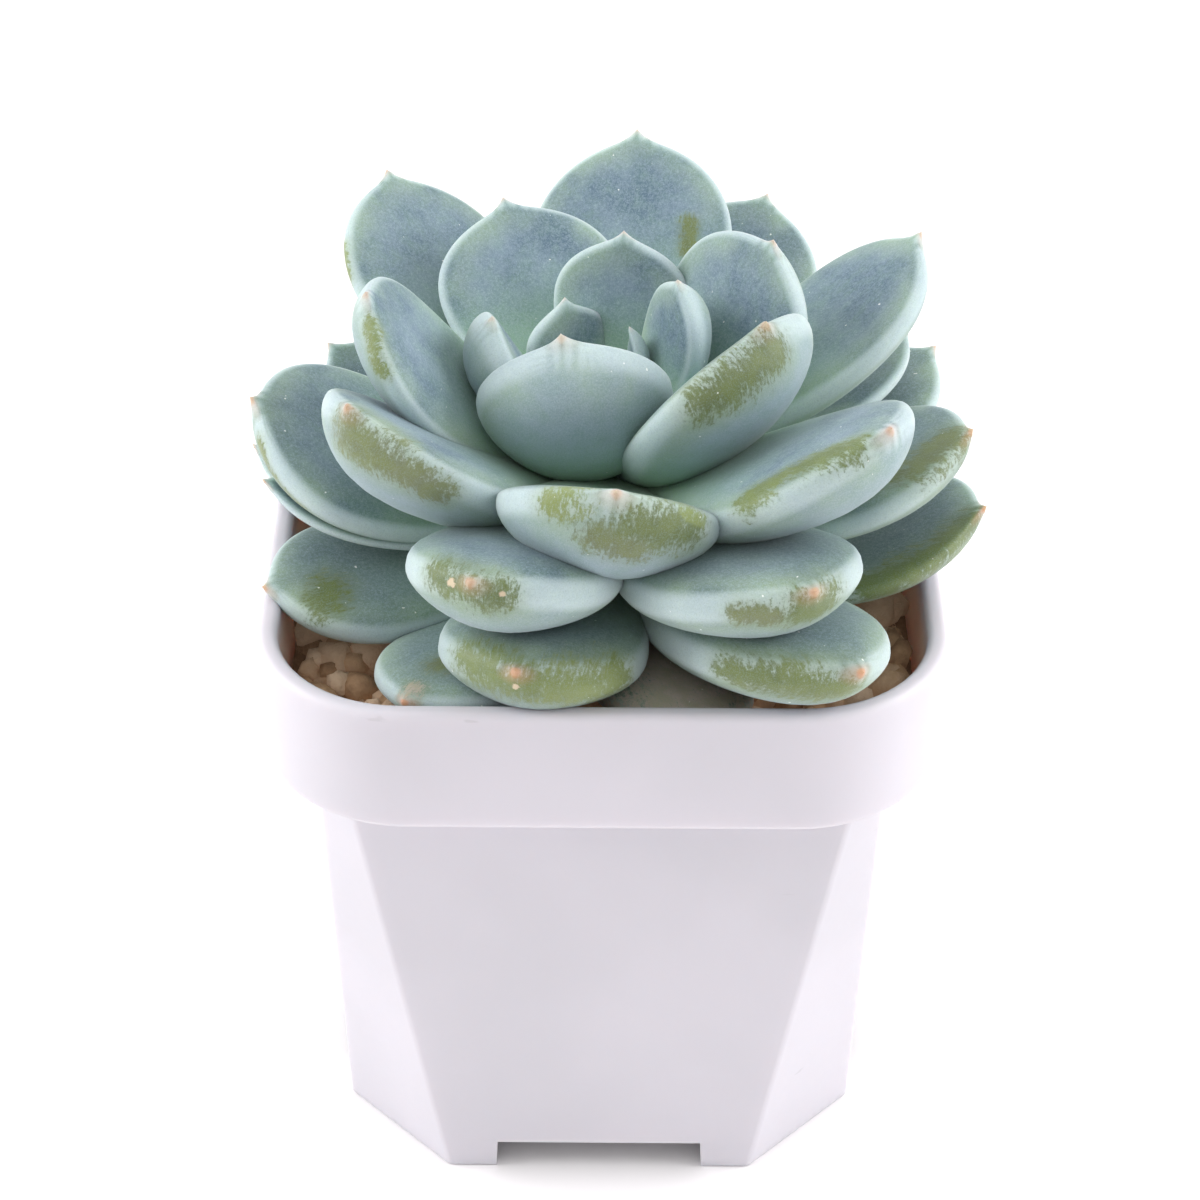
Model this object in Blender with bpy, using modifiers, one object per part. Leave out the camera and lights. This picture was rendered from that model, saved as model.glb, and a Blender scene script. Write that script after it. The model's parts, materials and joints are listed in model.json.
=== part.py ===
"""Potted echeveria: a fleshy rosette on a short stem, in gritty soil, in a square plastic nursery pot.

Metres, +Z up. The origin is the middle of the pot's underside, on the surface that the pot stands on.
A leaf's turn is counted from the front (-Y) towards the right (+X).
"""

import math

import bmesh
import bpy
from mathutils import Euler, Vector

MM = 0.001

# --- Driving sizes -------------------------------------------------------------------------------

CLEARANCE = 0.3 * MM            # between pieces that touch

# Pot: a wide collar over a body whose corners are cut off more and more towards the foot
POT_HEIGHT = 72.5 * MM
OPENING_WIDTH = 70.0 * MM       # inside the collar at the rim, flat to flat
OPENING_CORNER = 14.0 * MM      # inner corner radius of the collar
COLLAR_WALL = 2.2 * MM
COLLAR_HEIGHT = 15.5 * MM
COLLAR_DRAFT = 0.3 * MM         # how much the collar narrows towards its foot, each side
LEDGE_WIDTH = 5.4 * MM          # the step inside, where the collar stands out from the body
BODY_TAPER = 1.0 * MM           # how much the body narrows towards its foot, each side
CORNER_CUT_TOP = 3.4 * MM       # how far the corner cut reaches along each side
CORNER_CUT_FOOT = 12.3 * MM
BODY_WALL = 1.4 * MM
LEDGE_THICKNESS = 1.4 * MM
FLOOR_THICKNESS = 1.6 * MM
FOOT_GAP_WIDTH = 24.0 * MM      # the opening between two feet, in the middle of each side
FOOT_GAP_HEIGHT = 4.0 * MM
DRAIN_RADIUS = 4.0 * MM         # the middle drain hole; the outer ones are SIDE_DRAIN_RADIUS
SIDE_DRAIN_RADIUS = 2.6 * MM
SIDE_DRAIN_OFFSET = 15.0 * MM
SIDE_DRAINS = 4
CORNER_STEPS = 6                # facets round each corner of the pot

# Soil and stem
SOIL_DEPTH = 8.0 * MM           # soil surface below the rim
STEM_RADIUS = 5.0 * MM
STEM_HEIGHT = 21.7 * MM         # from the soil surface to the growing point
STEM_SHOULDER = 1.5 * MM        # height above the soil where the stem starts to round over
ROOT_LENGTH = 14.0 * MM         # how far the stem's foot goes below the soil surface
ROOT_TIP_RADIUS = 2.5 * MM

# Leaves: the shape that every leaf shares, as shares of its own length, width or thickness
LEAF_SEAT = 0.55 * MM           # the leaf's inner end stands this far off the stem
LEAF_FOOT_SHARE = 0.27          # width at the stem
LEAF_WIDEST = 0.66              # where along its length a leaf is widest
LEAF_FOOT_THICKNESS = 0.40      # thickness at the stem
LEAF_THICKEST = 0.60            # where along its length a leaf is thickest
LEAF_KEEL = 0.35                # how much the underside comes to a ridge near the tip
LEAF_CROWN = 0.16               # rise of the upper face over its edges
LEAF_CUP = 0.04                 # how much the edges turn up
TIP_LENGTH = 1.6 * MM           # the small sharp point at the end
TIP_RISE = math.radians(20)     # the point turns up from the leaf's end
LEAF_RINGS = (0, 0.12, 0.27, 0.42, 0.56, 0.68, 0.79, 0.88, 0.95, 1)
LEAF_SIDES = 12

TOP_LEAF_DROP = 0.1 * MM        # the first leaf's seat, below the growing point
LEAF_STEP = 0.48 * MM           # from one leaf's seat down to the next
LEAF_BEND = math.radians(20)    # how much a leaf curves up between its two ends

# One row for each leaf, from the heart outwards: its turn, its lean up from level and its roll
# about its own length in degrees, then its length, width and thickness in millimetres. Two leaves at the
# front differ from the shared shape and say how.
LEAVES = [
    # the heart: leaves still closed over the growing point
    (320, 72.5, 0, 10, 5, 2.5),
    (99.5, 81.5, 0, 10.2, 5.8, 1.9),
    (214.5, 65, -4, 12.2, 12, 2.7),
    (283.5, 55, 10, 18, 13, 4.3),
    (172, 50.5, -3, 19.6, 17.2, 3.4),
    (94.5, 74.5, 11, 18.6, 12.8, 3.9),
    # the inner rounds, standing up
    (346, 56.5, 4, 24, 22.2, 4.1, {"skew": -1.5 * MM}),
    (208, 36, 0, 27, 22.8, 4.8),
    (129.5, 42, 5, 26.4, 19.4, 4.6),
    (60.5, 52.5, 13, 27.4, 18, 5.5),
    (282, 48.5, -3, 33.6, 22, 4.2),
    (0, 28.5, -5, 32.4, 24.2, 7.1, {"bend": math.radians(4), "crown": 0.3, "tip_rise": math.radians(-5)}),
    (174.5, 29.5, -7, 40, 23.4, 4.4),
    (114, 30, -10, 39.2, 23.4, 5.3),
    # the middle rounds, opening out
    (299, 31.5, -4, 30.6, 21.8, 5.2),
    (52, 30, 5, 37.8, 19, 6.3),
    (218.5, 29, 13, 41, 24.6, 5.2),
    (154, 19.5, 6, 41.4, 22.4, 4.2),
    (336.5, 15, 5, 32.8, 21.8, 6.2),
    (277.5, 22, -9, 36, 22.6, 5.2),
    # the outer rounds, lying down over the rim
    (122, 11.5, -12, 36.8, 16.2, 3),
    (72, 22.5, 13, 38.2, 19.4, 4.8),
    (237, 11, -7, 33, 17.4, 3.6),
    (31, 17, -20, 38, 20.8, 5.9),
    (188.5, 21.5, 3, 34, 19.4, 4),
    (282, 13, 0, 32.8, 16.4, 2),
    (122.5, 8.5, -1, 40.6, 19.8, 5.2),
    (237, 5.5, 3, 34.6, 18.8, 2.8),
    (173.5, 8.5, -4, 31.6, 19, 2.8),
    (348, 11, 4, 35, 20.6, 4.6),
    (299.5, 8, -11, 35.8, 19.8, 5.1),
    (74.5, 15, 0, 38.2, 24.2, 5.4),
    # the lowest leaves at the back
    (208, 3, -1, 32, 20, 3),
    (145, 4.5, 7, 34.8, 18.2, 5.1),
    (39.5, 7.5, -20, 36.2, 23, 4.9),
    (259, 11, 5, 35.2, 15.6, 1.6),
    (218.5, -3, 3, 25.8, 16.2, 2.1),
    (102.5, 2.5, 0, 28.8, 17.2, 2.9),
    (327.5, 5.5, 6, 32, 18.2, 3),
    (16, 3.5, -12, 29.6, 17, 1.8),
]


# --- Scene helpers -------------------------------------------------------------------------------

def clear_scene():
    """Remove every object that the scene starts with."""
    for item in list(bpy.data.objects):
        bpy.data.objects.remove(item, do_unlink=True)


def new_collection(name):
    """A collection linked to the scene."""
    made = bpy.data.collections.new(name)
    bpy.context.scene.collection.children.link(made)
    return made


def new_material(name, colour, roughness):
    """A Principled material with one plain colour."""
    made = bpy.data.materials.new(name)
    made.use_nodes = True
    shader = made.node_tree.nodes["Principled BSDF"]
    shader.inputs["Base Color"].default_value = (*colour, 1)
    shader.inputs["Roughness"].default_value = roughness
    shader.inputs["Metallic"].default_value = 0
    return made


def mesh_object(name, mesh, collection, material=None):
    """An object for a mesh, shaded smooth up to sharp edges."""
    mesh.shade_smooth()
    mesh.set_sharp_from_angle(angle=math.radians(40))
    made = bpy.data.objects.new(name, mesh)
    collection.objects.link(made)
    if material:
        mesh.materials.append(material)
    return made


def loft(name, rings, tip=None):
    """A closed mesh through rings of equally many points, anticlockwise seen from the last ring.

    The first ring is closed flat. The last is closed flat, or drawn to a point where a tip is given.
    """
    made = bmesh.new()
    loops = [[made.verts.new(point) for point in ring] for ring in rings]
    count = len(rings[0])
    for lower, upper in zip(loops, loops[1:]):
        for here in range(count):
            there = (here + 1) % count
            made.faces.new((lower[here], lower[there], upper[there], upper[here]))
    made.faces.new(reversed(loops[0]))
    if tip is None:
        made.faces.new(loops[-1])
    else:
        point = made.verts.new(tip)
        for here in range(count):
            made.faces.new((loops[-1][here], loops[-1][(here + 1) % count], point))
    mesh = bpy.data.meshes.new(name)
    made.to_mesh(mesh)
    made.free()
    return mesh


def cutter(made, collection):
    """Mark an object as a cutting tool and not a piece."""
    for owner in list(made.users_collection):
        owner.objects.unlink(made)
    collection.objects.link(made)
    made.hide_render = True
    made.display_type = "WIRE"
    return made


def cut(target, tool):
    """Take one object's shape away from another's."""
    change = target.modifiers.new("cut_" + tool.name, "BOOLEAN")
    change.operation = "DIFFERENCE"
    change.solver = "EXACT"
    change.object = tool


def between(first, last, share):
    """The value a share of the way from first to last."""
    return first + (last - first) * share


# --- Pot -----------------------------------------------------------------------------------------

BODY_TOP = POT_HEIGHT - COLLAR_HEIGHT
BODY_TOP_HALF = OPENING_WIDTH / 2 - LEDGE_WIDTH + BODY_WALL
LEDGE_TOP = BODY_TOP + LEDGE_THICKNESS
FLOOR_BOTTOM = FOOT_GAP_HEIGHT + 0.6 * MM
FLOOR_TOP = FLOOR_BOTTOM + FLOOR_THICKNESS
SOIL_TOP = POT_HEIGHT - SOIL_DEPTH


def square_ring(half, reach, roundness, height):
    """A level square whose corners start a reach before each corner.

    Roundness 0 cuts the corners straight across and 1 makes them quarter circles.
    """
    points = []
    for corner in range(4):
        turn = Euler((0, 0, corner * math.pi / 2))
        for step in range(CORNER_STEPS + 1):
            share = step / CORNER_STEPS
            straight = Vector((half - reach * share, half - reach * (1 - share), height))
            angle = share * math.pi / 2
            curved = Vector((
                half - reach * (1 - math.cos(angle)), half - reach * (1 - math.sin(angle)), height))
            point = straight.lerp(curved, roundness)
            point.rotate(turn)
            points.append(point)
    return points


def body_ring(height, inset=0.0):
    """The body's outline at a height, moved in by an inset."""
    share = height / BODY_TOP
    half = between(BODY_TOP_HALF - BODY_TAPER, BODY_TOP_HALF, share) - inset
    reach = between(CORNER_CUT_FOOT, CORNER_CUT_TOP, share) - (2 - math.sqrt(2)) * inset
    return square_ring(half, reach, 0, height)


def collar_ring(height, inset=0.0):
    """The collar's outline at a height, moved in by an inset."""
    draft = COLLAR_DRAFT * (POT_HEIGHT - height) / COLLAR_HEIGHT
    half = OPENING_WIDTH / 2 + COLLAR_WALL - draft - inset
    return square_ring(half, OPENING_CORNER + COLLAR_WALL - inset, 1, height)


def build_pot(parts, cutters):
    """The pot in one piece: hollow foot, raised floor with drain holes, body, collar and inner ledge."""
    rings = [
        body_ring(FLOOR_BOTTOM, BODY_WALL),
        body_ring(0, BODY_WALL),
        body_ring(0),
        body_ring(BODY_TOP),
        collar_ring(BODY_TOP),
        collar_ring(POT_HEIGHT),
        collar_ring(POT_HEIGHT, COLLAR_WALL),
        collar_ring(LEDGE_TOP, COLLAR_WALL),
        body_ring(LEDGE_TOP, BODY_WALL),
        body_ring(FLOOR_TOP, BODY_WALL),
    ]
    plastic = new_material("pot_plastic", (0.86, 0.85, 0.88), 0.45)
    pot = mesh_object("pot", loft("pot", rings), parts, plastic)

    # The gaps between the feet run right across under the floor, one along X and one along Y
    reach = 3 * BODY_TOP_HALF
    for name, size in (("foot_gap_x", (reach, FOOT_GAP_WIDTH)), ("foot_gap_y", (FOOT_GAP_WIDTH, reach))):
        bpy.ops.mesh.primitive_cube_add(size=1, scale=(*size, 2 * FOOT_GAP_HEIGHT))
        gap = cutter(bpy.context.object, cutters)
        gap.name = name
        cut(pot, gap)

    holes = [(DRAIN_RADIUS, 0.0, 0.0)]
    for number in range(SIDE_DRAINS):
        angle = number * math.tau / SIDE_DRAINS
        x, y = SIDE_DRAIN_OFFSET * math.cos(angle), SIDE_DRAIN_OFFSET * math.sin(angle)
        holes.append((SIDE_DRAIN_RADIUS, x, y))
    for number, (radius, x, y) in enumerate(holes):
        bpy.ops.mesh.primitive_cylinder_add(
            vertices=16, radius=radius, depth=4 * FLOOR_THICKNESS, location=(x, y, FLOOR_TOP))
        drain = cutter(bpy.context.object, cutters)
        drain.name = "drain_cutter_%d" % number
        cut(pot, drain)
    return pot


# --- Stem and soil -------------------------------------------------------------------------------

def stem_radius(height):
    """The stem's radius at a height above the soil: straight, then rounding over like an egg's end."""
    share = max(0.0, height - STEM_SHOULDER) / (STEM_HEIGHT - STEM_SHOULDER)
    return STEM_RADIUS * math.sqrt(max(0.0, 1 - share * share))


def stem_mesh(name, grow):
    """The stem's profile from the growing point down to the root's end, as edges on the XZ plane."""
    dome_steps = 9
    profile = []
    for step in range(dome_steps + 1):
        angle = step / dome_steps * math.pi / 2
        height = STEM_SHOULDER + (STEM_HEIGHT - STEM_SHOULDER + grow) * math.cos(angle)
        profile.append((math.sin(angle) * (STEM_RADIUS + grow), 0, height))
    profile.append((STEM_RADIUS + grow, 0, -1 * MM))
    profile.append((ROOT_TIP_RADIUS + grow, 0, -ROOT_LENGTH - grow))
    profile.append((0, 0, -ROOT_LENGTH - grow))
    mesh = bpy.data.meshes.new(name)
    mesh.from_pydata(profile, [(here, here + 1) for here in range(len(profile) - 1)], [])
    return mesh


def turned(name, mesh, collection, height, material=None):
    """A profile turned once round the plant's axis."""
    made = bpy.data.objects.new(name, mesh)
    collection.objects.link(made)
    made.location = (0, 0, height)
    turn = made.modifiers.new("turn", "SCREW")
    turn.steps = 24
    turn.render_steps = 24
    turn.use_merge_vertices = True
    turn.merge_threshold = 0.00001
    if material:
        mesh.materials.append(material)
    return made


def build_stem(parts, height):
    """The short woody stem with its root, standing in the soil."""
    bark = new_material("stem_bark", (0.24, 0.22, 0.13), 0.8)
    return turned("stem", stem_mesh("stem", 0), parts, height, bark)


def build_soil(parts, cutters, height):
    """The soil, filling the pot from its floor to the soil surface, with a socket for the stem."""
    side = BODY_WALL + CLEARANCE
    rings = [
        body_ring(FLOOR_TOP + CLEARANCE, side),
        body_ring(LEDGE_TOP + CLEARANCE, side),
        collar_ring(LEDGE_TOP + CLEARANCE, COLLAR_WALL + CLEARANCE),
        collar_ring(SOIL_TOP, COLLAR_WALL + CLEARANCE),
    ]
    grit = new_material("soil_grit", (0.32, 0.19, 0.12), 0.95)
    soil = mesh_object("soil", loft("soil", rings), parts, grit)
    socket = cutter(turned("stem_socket", stem_mesh("stem_socket", CLEARANCE), parts, height), cutters)
    cut(soil, socket)
    return soil


# --- Leaves --------------------------------------------------------------------------------------

def leaf_shape(length, width, thickness, bend=LEAF_BEND, skew=0.0, crown=LEAF_CROWN, tip_rise=TIP_RISE):
    """Rings and tip of one leaf lying along +X, its upper face up.

    The leaf's middle line is a circular arc whose ends lie on the X axis. The width swells to its
    widest and closes round the end. The upper face is nearly flat. The underside is half a lens that
    comes to a keel towards the tip.
    """
    radius = length / bend
    rings = []
    for share in LEAF_RINGS:
        slope = bend * (share - 0.5)
        middle = Vector((radius * (math.sin(slope) + math.sin(bend / 2)), skew * share * share,
                         radius * (math.cos(bend / 2) - math.cos(slope))))
        upward = Vector((-math.sin(slope), 0, math.cos(slope)))
        rising = math.sin(min(1, share / LEAF_WIDEST) * math.pi / 2)
        swell = LEAF_FOOT_SHARE + (1 - LEAF_FOOT_SHARE) * rising ** 1.2
        closing = max(0.0, (share - LEAF_WIDEST) / (1 - LEAF_WIDEST))
        half = width / 2 * max(0.06, swell * (1 - closing ** 2.2) ** 0.55)
        rising = math.sin(min(1, share / LEAF_THICKEST) * math.pi / 2)
        thinning = max(0.0, (share - LEAF_THICKEST) / (1 - LEAF_THICKEST))
        fullness = (LEAF_FOOT_THICKNESS + (1 - LEAF_FOOT_THICKNESS) * rising) * math.sqrt(1 - thinning ** 3)
        depth = thickness * max(0.13, fullness)
        keel = LEAF_KEEL * min(1, max(0.0, (share - 0.25) / 0.5))
        ring = []
        for side in range(LEAF_SIDES):
            angle = side * math.tau / LEAF_SIDES
            across, rise = math.cos(angle), math.sin(angle)
            if rise > 0:
                lift = crown * depth * rise
            else:
                lift = -depth * ((1 - keel) * -rise + keel * (1 - abs(across)))
            lift += LEAF_CUP * half * across * across
            ring.append(middle + Vector((0, half * across, 0)) + upward * lift)
        rings.append(ring)
    centre = sum(rings[-1], Vector()) / LEAF_SIDES
    rings[-1] = [centre + (point - centre) * 0.4 for point in rings[-1]]
    tip_slope = bend / 2 + tip_rise
    tip = centre + Vector((math.cos(tip_slope), 0, math.sin(tip_slope))) * TIP_LENGTH
    return rings, tip


def build_leaf(name, row, seat_height, parts, plant, material):
    """One leaf, seated on the stem at its turn and leaning up from the horizontal."""
    turn, lean, roll, length, width, thickness, *own = row
    rings, tip = leaf_shape(length * MM, width * MM, thickness * MM, **(own[0] if own else {}))
    leaf = mesh_object(name, loft(name, rings, tip), parts, material)
    reach = stem_radius(seat_height) + LEAF_SEAT
    heading = math.radians(turn)
    leaf.location = (reach * math.sin(heading), -reach * math.cos(heading), seat_height)
    leaf.rotation_euler = (math.radians(roll), -math.radians(lean), heading - math.pi / 2)
    leaf.parent = plant
    return leaf


def build_leaves(parts, plant):
    """Every leaf, seated one after another down the stem from the growing point."""
    bloom = new_material("leaf_skin", (0.30, 0.42, 0.40), 0.55)
    for number, row in enumerate(LEAVES):
        seat_height = STEM_HEIGHT - TOP_LEAF_DROP - LEAF_STEP * number
        build_leaf("leaf_%02d" % (number + 1), row, seat_height, parts, plant, bloom)


clear_scene()
piece_collection = new_collection("potted_succulent")
cutter_collection = new_collection("cutters")
build_pot(piece_collection, cutter_collection)
build_soil(piece_collection, cutter_collection, SOIL_TOP)
build_stem(piece_collection, SOIL_TOP)
plant_frame = bpy.data.objects.new("plant_frame", None)
plant_frame.location = (0, 0, SOIL_TOP)
piece_collection.objects.link(plant_frame)
build_leaves(piece_collection, plant_frame)
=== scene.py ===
"""A potted echeveria: a blue-green rosette in clay grit, in a square white nursery pot with cut corners.

Metres, +Z up. The middle of the pot's underside is the origin, and the front of the pot faces -Y.
"""

import json
import math

import bpy
import numpy as np
from mathutils import Euler, Matrix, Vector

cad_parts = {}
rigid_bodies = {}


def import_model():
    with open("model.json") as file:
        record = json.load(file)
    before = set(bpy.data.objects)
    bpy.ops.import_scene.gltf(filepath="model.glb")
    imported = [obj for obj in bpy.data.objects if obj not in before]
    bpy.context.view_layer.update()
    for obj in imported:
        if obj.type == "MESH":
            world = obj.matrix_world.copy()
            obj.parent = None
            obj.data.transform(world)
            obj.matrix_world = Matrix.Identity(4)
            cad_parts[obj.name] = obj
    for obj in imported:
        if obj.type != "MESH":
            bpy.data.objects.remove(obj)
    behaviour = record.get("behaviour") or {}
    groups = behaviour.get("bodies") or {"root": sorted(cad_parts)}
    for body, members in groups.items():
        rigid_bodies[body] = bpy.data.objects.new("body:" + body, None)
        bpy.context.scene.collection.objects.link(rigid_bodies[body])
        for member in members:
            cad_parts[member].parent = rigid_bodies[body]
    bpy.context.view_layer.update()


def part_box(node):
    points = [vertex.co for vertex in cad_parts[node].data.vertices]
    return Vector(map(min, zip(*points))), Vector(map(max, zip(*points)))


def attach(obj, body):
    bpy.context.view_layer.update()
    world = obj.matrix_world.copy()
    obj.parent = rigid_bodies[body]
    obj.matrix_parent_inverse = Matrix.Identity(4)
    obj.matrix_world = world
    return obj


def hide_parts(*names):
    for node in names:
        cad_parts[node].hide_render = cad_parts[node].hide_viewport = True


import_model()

MM = 0.001

# --- The table and the light ---------------------------------------------------------------------
# A seamless white table top inside a white light tent, with soft boxes on both sides and behind.
# The tent's open front is where the lens looks in, so the light from there is weaker.

TABLE_WIDTH = 3.0
VIEW_PITCH = math.radians(35.3)     # the lens looks down by this much
VIEW_ROLL = math.radians(0.39)
VIEW_DISTANCE = 368.4 * MM          # from the lens to the point that it is aimed at
VIEW_AIM = (-0.3 * MM, 0, 61.0 * MM)
LENS = 96                           # on a sensor 36 mm wide
TENT_WHITE = (1.0, 0.99, 0.985)
TENT_STRENGTH = 0.92
TENT_FRONT_SHARE = 0.85             # brightness of the open front against the rest of the tent


def add(tree, kind, inputs=None, **settings):
    """A new node, its settings set and its inputs linked to sockets or set to plain values."""
    node = tree.nodes.new(kind)
    for name, value in settings.items():
        setattr(node, name, value)
    for socket, value in (inputs or {}).items():
        if isinstance(value, bpy.types.NodeSocket):
            tree.links.new(value, node.inputs[socket])
        else:
            node.inputs[socket].default_value = value
    return node


def blended(tree, share, first, second, how="MIX"):
    """The colour that goes from first to second as share goes from 0 to 1."""
    return add(tree, "ShaderNodeMix", {0: share, 6: first, 7: second},
               data_type="RGBA", blend_type=how).outputs[2]


def rising(tree, value, low, high):
    """0 where value is under low, 1 over high, and a smooth step between them."""
    return add(tree, "ShaderNodeMapRange", {0: value, 1: low, 2: high},
               interpolation_type="SMOOTHSTEP").outputs[0]


def maths(tree, operation, first, second=0.0):
    """One step of arithmetic on two values."""
    return add(tree, "ShaderNodeMath", {0: first, 1: second}, operation=operation).outputs[0]


def cloudy(tree, place, scale, detail=2.0, roughness=0.5, distortion=0.0):
    """A noise of values round one half, scale being how many waves there are in one unit of place."""
    return add(tree, "ShaderNodeTexNoise",
               {"Vector": place, "Scale": scale, "Detail": detail, "Roughness": roughness,
                "Distortion": distortion}).outputs[0]


def stretched(tree, place, by):
    """A place multiplied axis by axis, so that a noise read there is drawn out along the smaller numbers."""
    return add(tree, "ShaderNodeVectorMath", {0: place, 1: by}, operation="MULTIPLY").outputs[0]


def new_finish(name, roughness, **constants):
    """A material's node tree and its Principled shader, with constant inputs set on the shader."""
    made = bpy.data.materials.new(name)
    made.use_nodes = True
    shader = made.node_tree.nodes["Principled BSDF"]
    shader.inputs["Roughness"].default_value = roughness
    for socket, value in constants.items():
        shader.inputs[socket.replace("_", " ")].default_value = value
    return made, made.node_tree, shader


def roughen(tree, shader, height, distance, strength=1.0):
    """Bump the shader's surface by a height field, distance being the real height of one unit."""
    bump = add(tree, "ShaderNodeBump", {"Height": height, "Distance": distance, "Strength": strength})
    tree.links.new(bump.outputs[0], shader.inputs["Normal"])


def set_table():
    """The table top, one flat sheet."""
    corner = TABLE_WIDTH / 2
    mesh = bpy.data.meshes.new("table_top")
    mesh.from_pydata([(-corner, -corner, 0), (corner, -corner, 0), (corner, corner, 0), (-corner, corner, 0)],
                     [], [(0, 1, 2, 3)])
    table = bpy.data.objects.new("table_top", mesh)
    bpy.context.collection.objects.link(table)
    finish, tree, shader = new_finish("table_white", 0.5)
    place = add(tree, "ShaderNodeTexCoord").outputs["Object"]
    tree.links.new(blended(tree, cloudy(tree, place, 9), (0.93, 0.915, 0.92, 1), (0.97, 0.955, 0.96, 1)),
                   shader.inputs["Base Color"])
    mesh.materials.append(finish)


def light_tent():
    """The tent as a white sky, weaker towards the front."""
    sky = bpy.data.worlds.new("tent")
    bpy.context.scene.world = sky
    sky.use_nodes = True
    tree = sky.node_tree
    tree.nodes.clear()
    way = add(tree, "ShaderNodeTexCoord").outputs["Generated"]
    forward = add(tree, "ShaderNodeSeparateXYZ", {0: way}).outputs["Y"]
    share = rising(tree, forward, -0.9, 0.3)
    strength = add(tree, "ShaderNodeMapRange",
                   {0: share, 3: TENT_STRENGTH * TENT_FRONT_SHARE, 4: TENT_STRENGTH}).outputs[0]
    tent = add(tree, "ShaderNodeBackground", {"Color": (*TENT_WHITE, 1), "Strength": strength})
    add(tree, "ShaderNodeOutputWorld", {"Surface": tent.outputs[0]})


def soft_box(name, place, aim, size, power, colour=(1, 1, 1)):
    """A square area light at a place, facing its aim."""
    lamp = bpy.data.lights.new(name, "AREA")
    lamp.shape = "SQUARE"
    lamp.size = size
    lamp.energy = power
    lamp.color = colour
    made = bpy.data.objects.new(name, lamp)
    made.location = place
    way = np.subtract(aim, place)
    heading = math.atan2(way[0], -way[1])
    tilt = math.atan2(math.hypot(way[0], way[1]), -way[2])
    made.rotation_euler = (tilt, 0, heading + math.pi)
    bpy.context.collection.objects.link(made)


def stand_camera():
    """The camera, aimed down at the plant from the front."""
    lens = bpy.data.cameras.new("camera")
    lens.lens = LENS
    lens.sensor_width = 36
    lens.clip_start = 0.01
    camera = bpy.data.objects.new("camera", lens)
    camera.location = (VIEW_AIM[0], VIEW_AIM[1] - VIEW_DISTANCE * math.cos(VIEW_PITCH),
                       VIEW_AIM[2] + VIEW_DISTANCE * math.sin(VIEW_PITCH))
    turn = Euler((math.pi / 2 - VIEW_PITCH, 0, 0)).to_matrix() @ Matrix.Rotation(VIEW_ROLL, 3, "Z")
    camera.rotation_euler = turn.to_euler()
    bpy.context.collection.objects.link(camera)
    bpy.context.scene.camera = camera


bpy.context.scene.view_settings.view_transform = "Standard"
set_table()
light_tent()
soft_box("box_left", (-0.7, 0, 0.42), (0, 0, 0.08), 0.5, 4.2)
soft_box("box_right", (0.7, 0, 0.42), (0, 0, 0.08), 0.5, 4.2)
soft_box("box_top", (0, 0.25, 0.9), (0, 0, 0.08), 0.6, 1.2)
stand_camera()

# --- Pot -----------------------------------------------------------------------------------------
# A thin-walled injection-moulded polypropylene pot in one piece: a wide collar with round corners over
# a body whose corners are cut off more and more towards its four feet, and a raised floor with drains.

POT_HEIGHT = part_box("pot")[1][2]
RIM_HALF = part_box("pot")[1][0]      # from the middle to the outside of the collar
COLLAR_HEIGHT = 15.5 * MM
COLLAR_WALL = 2.2 * MM
COLLAR_DRAFT = 0.3 * MM
COLLAR_CORNER = 16.2 * MM
RIM_ROUNDING = 0.8 * MM
BODY_WALL = 1.4 * MM
BODY_TOP_HALF = 31.0 * MM
BODY_FOOT_HALF = 30.0 * MM
CUT_TOP = 3.4 * MM                  # how far a cut corner reaches along each side, under the collar
CUT_FOOT = 12.3 * MM                # and at the feet
EDGE_ROUNDING = 1.3 * MM            # of the body's upright edges
LEDGE_THICKNESS = 1.4 * MM
FLOOR_BOTTOM = 4.6 * MM
FLOOR_TOP = 6.2 * MM
FOOT_GAP_HALF = 12.0 * MM
FOOT_GAP_HEIGHT = 4.0 * MM
DRAINS = [(4.0 * MM, 0, 0)] + [
    (2.6 * MM, 15 * MM * math.cos(turn), 15 * MM * math.sin(turn)) for turn in np.arange(4) * math.pi / 2]
BODY_TOP = POT_HEIGHT - COLLAR_HEIGHT
POT_WHITE = (0.615, 0.595, 0.645, 1)
POT_MILKY = (0.65, 0.625, 0.68, 1)
POT_CLAY_BOUNCE = (0.74, 0.64, 0.57, 1)    # painted reflection: the inner wall over the grit, tinted warm as light thrown back from the clay would colour it
SCUFF_STRETCH = (1.0, 1.0, 3.5)
POT_SCUFF = (0.50, 0.49, 0.52, 1)


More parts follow.
